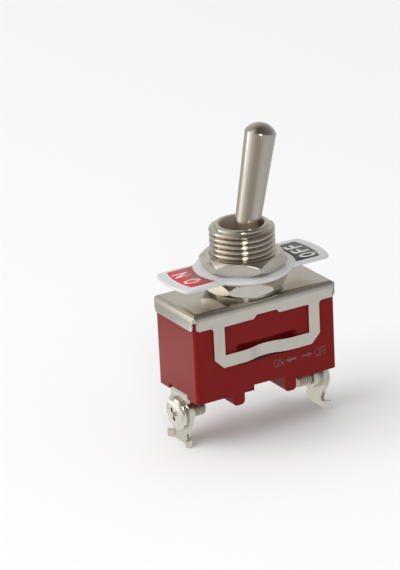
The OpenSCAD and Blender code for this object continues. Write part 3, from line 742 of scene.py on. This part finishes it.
def ink_panel(side, inner, outer, near, far, thickness):
    """A film of ink between two radii and two cuts across the wing, on one side of the bushing."""
    panel = bmesh.new()
    ends = [panel.verts.new((side * radius, 0, tag_top)) for radius in (inner, outer)]
    panel.edges.new(ends)
    turn_back = Matrix.Rotation(-panel_sweep / 2, 4, "Z")
    bmesh.ops.transform(panel, matrix=turn_back, verts=panel.verts)
    bmesh.ops.spin(
        panel, geom=panel.verts[:] + panel.edges[:], cent=(0, 0, 0), axis=(0, 0, 1),
        angle=panel_sweep, steps=60
    )
    for cut, outward in ((near, -1), (far, 1)):
        bmesh.ops.bisect_plane(
            panel, geom=panel.verts[:] + panel.edges[:] + panel.faces[:],
            plane_co=(0, cut, 0), plane_no=(0, outward, 0), clear_outer=True
        )
    thicken(panel, (0, 0, thickness))
    return panel


# Letter, place along the wing, and width
on_letters = [("O", -1.6 * MM, 1.65 * MM), ("N", 2.1 * MM, 1.6 * MM)]
off_letters = [
    ("O", -3.0 * MM, 1.95 * MM), ("F", -0.5 * MM, 1.75 * MM), ("F", 1.9 * MM, 1.75 * MM),
]
reading = Matrix.Rotation(math.radians(90), 4, "Z")

# Name, side, radii and cuts of a panel, its ink, and its letters with their middle and weight
panels = [
    ("on", -1, (9.3 * MM, 14.1 * MM), (-4.15 * MM, 4.8 * MM), red_ink,
     on_letters, -11.7 * MM, 0.01),
    ("off", 1, (9.5 * MM, 14.15 * MM), (-4.65 * MM, 4.2 * MM), dark_ink,
     off_letters, 11.8 * MM, 0.03),
]
for name, side, (inner, outer), (near, far), ink, letters, middle, weight in panels:
    edging = ink_panel(
        side, inner - border, outer + border, near - border, far + border, ink_t / 2
    )
    add_piece(edging, "tag_border_" + name, "onoff_tag", white_ink)
    panel = ink_panel(side, inner, outer, near, far, ink_t)
    add_piece(panel, "tag_panel_" + name, "onoff_tag", ink)
    for number, (letter, along, width) in enumerate(letters, 1):
        shape = word_shape(letter, width, letter_height, 2 * ink_t, weight)
        bmesh.ops.transform(shape, matrix=reading, verts=shape.verts)
        bmesh.ops.translate(shape, verts=shape.verts, vec=(middle, along, tag_top + ink_t))
        add_piece(shape, "tag_%s_letter_%d" % (name, number), "onoff_tag", white_ink)


# Studio: a white floor under a large soft box on the left, one overhead and a small lamp
# near the camera. A glowing tent in grey and cream tones, with a floor and a window, stands
# round the switch and is seen only in reflections. Its tones are painted reflections, and
# the small lamp is drawn on it as a painted highlight. Reflections show the tent and not
# the lamps.

floor_half = 3.0
floor_level = cad_box[0].z
floor_white, shader, place = new_finish(
    "floor_white", {"Roughness": 0.9, "Specular IOR Level": 0.0}
)
place.grain(0.2).between(grey(0.865), grey(0.855)).feed(shader, "Base Color")
shape = bmesh.new()
bmesh.ops.create_grid(shape, x_segments=1, y_segments=1, size=floor_half)
bmesh.ops.translate(shape, verts=shape.verts, vec=(0, 0, floor_level))
floor_object = add_object(shape, "floor", floor_white)

tent_radius = 70 * MM
tent_eaves = 45 * MM
tent_apex = 110 * MM
paper_glow = 2.0
paper_level = floor_level + 0.02 * MM
# The tent's material glows by itself: painted reflections, seen only in reflections
tent_reflection_paint = bpy.data.materials.new("tent_painted_reflections")
tent_reflection_paint.use_nodes = True
tent_reflection_paint.node_tree.nodes.clear()
place = Shade(tent_reflection_paint.node_tree).node("TexCoord", output="Object")
across, along, height = parts_of(place)
bearing = across.maths("ARCTAN2", across, 0 - along) / math.tau + 0.5


def tones_round(tones):
    """Colours round the tent, given at azimuths in degrees from the front."""
    stops = [(0.5 + azimuth / 360, (*colour, 1)) for azimuth, colour in tones]
    return bearing.node("ValToRGB", {"stops": stops}, {"Fac": bearing})


wall_tone = tones_round([
    (-180, (0.275, 0.27, 0.265)),
    (-165, (0.275, 0.27, 0.265)),
    (-150, (0.29, 0.285, 0.275)),
    (-142, (0.27, 0.265, 0.255)),
    (-133, (0.54, 0.52, 0.475)),
    (-125, (0.66, 0.64, 0.585)),
    (-112, (0.66, 0.64, 0.585)),
    (-100, (0.54, 0.52, 0.47)),
    (-85, (0.32, 0.305, 0.28)),
    (-70, (0.29, 0.275, 0.25)),
    (-60, (0.22, 0.205, 0.185)),
    (-45, (0.19, 0.172, 0.153)),
    (-20, (0.19, 0.172, 0.153)),
    (-5, (0.25, 0.24, 0.225)),
    (20, (0.30, 0.295, 0.285)),
    (60, (0.28, 0.275, 0.27)),
    (100, (0.27, 0.267, 0.262)),
    (132, (0.31, 0.303, 0.29)),
    (146, (0.325, 0.318, 0.302)),
    (158, (0.35, 0.342, 0.322)),
    (170, (0.33, 0.322, 0.305)),
    (180, (0.275, 0.27, 0.265)),
])
floor_tone = tones_round([
    (-180, (0.40, 0.396, 0.385)),
    (-165, (0.37, 0.366, 0.358)),
    (-145, (0.26, 0.256, 0.245)),
    (-133, (0.33, 0.325, 0.312)),
    (-121, (0.48, 0.472, 0.455)),
    (-100, (0.45, 0.443, 0.425)),
    (-80, (0.375, 0.37, 0.36)),
    (40, (0.385, 0.38, 0.37)),
    (75, (0.24, 0.23, 0.215)),
    (120, (0.24, 0.23, 0.215)),
    (148, (0.45, 0.444, 0.432)),
    (180, (0.40, 0.396, 0.385)),
])


def direction(azimuth, elevation=0):
    """A unit vector towards an azimuth from the front, positive to the right, and elevation."""
    turn, rise = math.radians(azimuth), math.radians(elevation)
    level = math.cos(rise)
    return Vector((math.sin(turn) * level, -math.cos(turn) * level, math.sin(rise)))


def reach_towards(azimuth):
    """How far out a place is, measured towards an azimuth."""
    way = direction(azimuth)
    return way.x * across + way.y * along


# Each patch of the tent has a painted tone, and soft edges that run between two distances:
# a brighter ring near the switch, a painted pool of light at the left back of the floor, a
# glowing window, a dark roof, and the small lamp drawn as a painted highlight
near_painted_tone = (0.44, 0.432, 0.415, 1)
near_edge = (16 * MM, 27 * MM)
painted_light_pool = (0.85, 0.84, 0.82, 1)
lit_azimuth = -136
lit_start = (32 * MM, 40 * MM)
lit_end = (56 * MM, 64 * MM)
wall_foot = (floor_level + 6 * MM, floor_level + 16 * MM)
window_light = (1.2, 1.16, 1.05, 1)
window_azimuth = -128
window_side = (0.987 * tent_radius, 0.9945 * tent_radius)
window_sill = (8 * MM, 13 * MM)
overhead_tone = (0.05, 0.04, 0.033, 1)
overhead_edge = (24 * MM, 112 * MM)
lamp_light = (14.0, 13.8, 13.6, 1)
lamp_place = (-28.5 * MM, -64 * MM, 38 * MM)
lamp_edge = (8 * MM, 10 * MM)
around = off_axis(across, along)
lit = step_up(reach_towards(lit_azimuth), *lit_start) * (1 - step_up(around, *lit_end))
floor_tone = lit.between(floor_tone, painted_light_pool)
floor_tone = step_up(around, *near_edge).between(near_painted_tone, floor_tone)
tone = step_up(height, *wall_foot).between(floor_tone, wall_tone)
window = step_up(reach_towards(window_azimuth), *window_side) * step_up(height, *window_sill)
tone = window.between(tone, window_light)
overhead = height - 0.4 * along + 0.3 * across
tone = step_up(overhead, *overhead_edge).between(tone, overhead_tone)
off_lamp = place.node("VectorMath", {"operation": "DISTANCE"}, {0: place, 1: lamp_place}, "Value")
tone = step_up(off_lamp, *lamp_edge).between(lamp_light, tone)
glow = tone.node("Emission", None, {"Color": tone, "Strength": paper_glow})
glow.node("OutputMaterial", None, {"Surface": glow})
tent_section = [
    (0, paper_level), (tent_radius, paper_level), (tent_radius, tent_eaves), (0, tent_apex),
]
tent_object = add_object(spun(tent_section, steps=96), "tent", tent_reflection_paint)
tent_object.visible_camera = False
tent_object.visible_diffuse = False
tent_object.visible_shadow = False


def soft_box(name, azimuth, elevation, distance, size, watts):
    """A square lamp at a distance from the switch, turned towards it."""
    lamp = bpy.data.lights.new(name, "AREA")
    lamp.size = size
    lamp.energy = watts
    holder = bpy.data.objects.new(name, lamp)
    towards = direction(azimuth, elevation)
    holder.location = towards * distance
    holder.rotation_euler = towards.to_track_quat("Z", "Y").to_euler()
    holder.visible_camera = False
    holder.visible_glossy = False
    bpy.context.scene.collection.objects.link(holder)


soft_box("left_box", azimuth=-100, elevation=40, distance=1.5, size=1.6, watts=17.8)
soft_box("top_box", azimuth=170, elevation=72, distance=2.0, size=1.8, watts=8.2)
soft_box("front_lamp", azimuth=-24, elevation=30, distance=0.6, size=0.12, watts=0.45)

ambient = grey(0.54)
backdrop = grey(0.97)
world = bpy.data.worlds.new("studio")
world.use_nodes = True
bpy.context.scene.world = world
world.node_tree.nodes.clear()
ray = Shade(world.node_tree).node("LightPath", output="Is Camera Ray")
path = ray.socket.node
seen = ray
for name in ("Is Glossy Ray", "Is Transmission Ray"):
    seen = seen.maths("MAXIMUM", seen, Shade(world.node_tree, path.outputs[name]))
room = seen.between(ambient, backdrop)
sky = room.node("Background", None, {"Color": room, "Strength": 1.0})
sky.node("OutputWorld", None, {"Surface": sky})


# Camera: a long lens at the photograph's place, which was worked out from the case, the tag
# and the thread, and tilted a little as the photograph is.

camera_azimuth = -29.820
camera_elevation = 21.292
camera_roll = -2.835
camera_aim = Vector((-9.216, 0, -4.408)) * MM
camera_distance = 562.03 * MM
lens = bpy.data.cameras.new("camera")
lens.sensor_width = 36.0
lens.lens = 197.697
lens.clip_start = 0.01
lens.clip_end = 20.0
camera = bpy.data.objects.new("camera", lens)
backward = direction(camera_azimuth, camera_elevation)
camera.location = camera_aim + backward * camera_distance
aimed = backward.to_track_quat("Z", "Y")
camera.rotation_euler = (aimed @ Quaternion((0, 0, 1), math.radians(camera_roll))).to_euler()
bpy.context.scene.collection.objects.link(camera)
bpy.context.scene.camera = camera
bpy.context.scene.view_settings.view_transform = "Standard"
